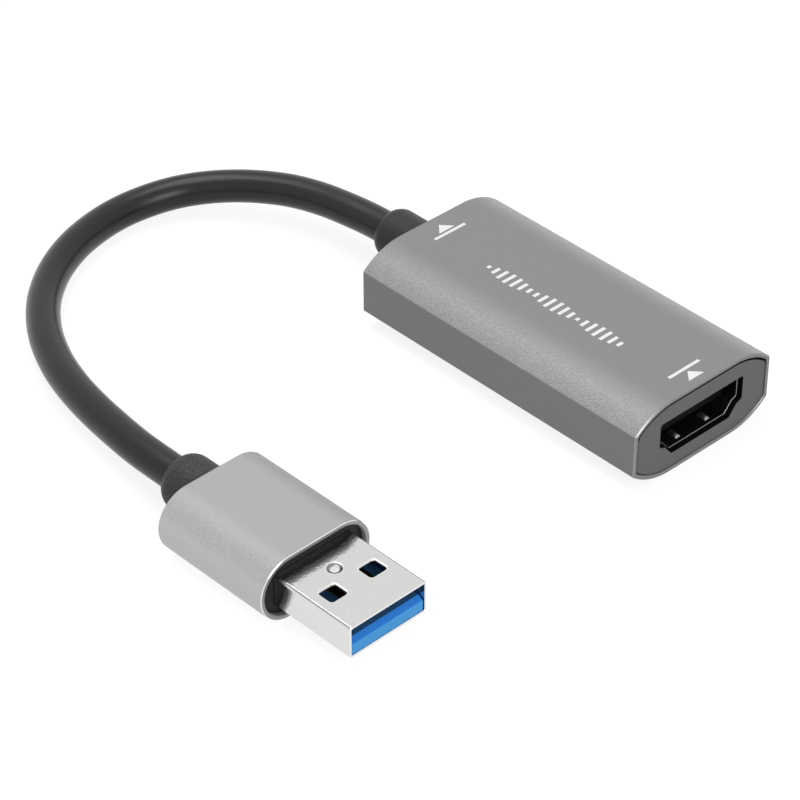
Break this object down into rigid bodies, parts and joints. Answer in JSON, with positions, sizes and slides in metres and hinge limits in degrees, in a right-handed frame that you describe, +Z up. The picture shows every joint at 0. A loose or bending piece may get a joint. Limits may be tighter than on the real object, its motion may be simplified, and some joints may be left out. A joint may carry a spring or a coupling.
{
  "type": "video capture box",
  "caption": "Small flat grey metal box with a video input socket at one end and a short thick lead to a flat bus plug at the other, for capturing video on a computer.",
  "frame": {"origin": "middle of the box's underside, on the surface that it lies on", "axes": "+X along the box towards the input socket, +Z up, the lead and plug lie at -Y"},
  "size_m": [0.0896, 0.0737, 0.0112],
  "materials": {
    "grey_anodised": "fine bead-blasted dark grey anodised",
    "plate_plastic": "matt moulded",
    "insulating_film": "smooth amber film",
    "board_green": "solder-resist green",
    "socket_metal": "bright nickel plate",
    "black_moulding": "fine moulded black",
    "contact_gold": "gold flash",
    "lead_tin": "tinned",
    "chip_black": "matt epoxy",
    "can_nickel": "drawn can",
    "ferrite_grey": "pressed ferrite",
    "capacitor_tan": "fired ceramic",
    "wire_red": "extruded insulation",
    "wire_black": "extruded insulation",
    "wire_green": "extruded insulation",
    "wire_white": "extruded insulation",
    "cable_black": "satin extruded jacket",
    "relief_black": "moulded, slightly grained",
    "silver_anodised": "fine bead-blasted silver anodised",
    "plug_nickel": "bright nickel plate",
    "tongue_blue": "moulded blue"
  },
  "bodies": {
    "root": {"housing_shell": "grey_anodised", "input_end_plate": "plate_plastic", "cable_end_plate": "plate_plastic", "insulating_sheet": "insulating_film", "main_board": "board_green", "input_socket_shell": "socket_metal", "input_socket_insulator": "black_moulding", "input_socket_contacts": "contact_gold", "capture_chip": "chip_black", "capture_chip_leads": "lead_tin", "memory_chip": "chip_black", "memory_chip_leads": "lead_tin", "regulators": "chip_black", "regulator_leads": "lead_tin", "clock_crystal": "can_nickel", "power_inductor": "ferrite_grey", "surge_arrays": "chip_black", "chip_capacitors": "capacitor_tan", "chip_resistors": "chip_black", "passive_end_caps": "lead_tin", "solder_joints": "lead_tin", "power_wire": "wire_red", "ground_wire": "wire_black", "data_wire_a": "wire_green", "data_wire_b": "wire_white", "drain_wire": "lead_tin", "box_strain_relief": "relief_black", "cable": "cable_black", "plug_strain_relief": "relief_black", "plug_sleeve": "silver_anodised", "plug_inner_mould": "black_moulding", "plug_metal_shell": "plug_nickel", "plug_tongue": "tongue_blue", "plug_front_contacts": "contact_gold", "plug_rear_contacts": "contact_gold", "plug_power_wire": "wire_red", "plug_ground_wire": "wire_black", "plug_data_wire_a": "wire_green", "plug_data_wire_b": "wire_white"}
  },
  "joints": []
}
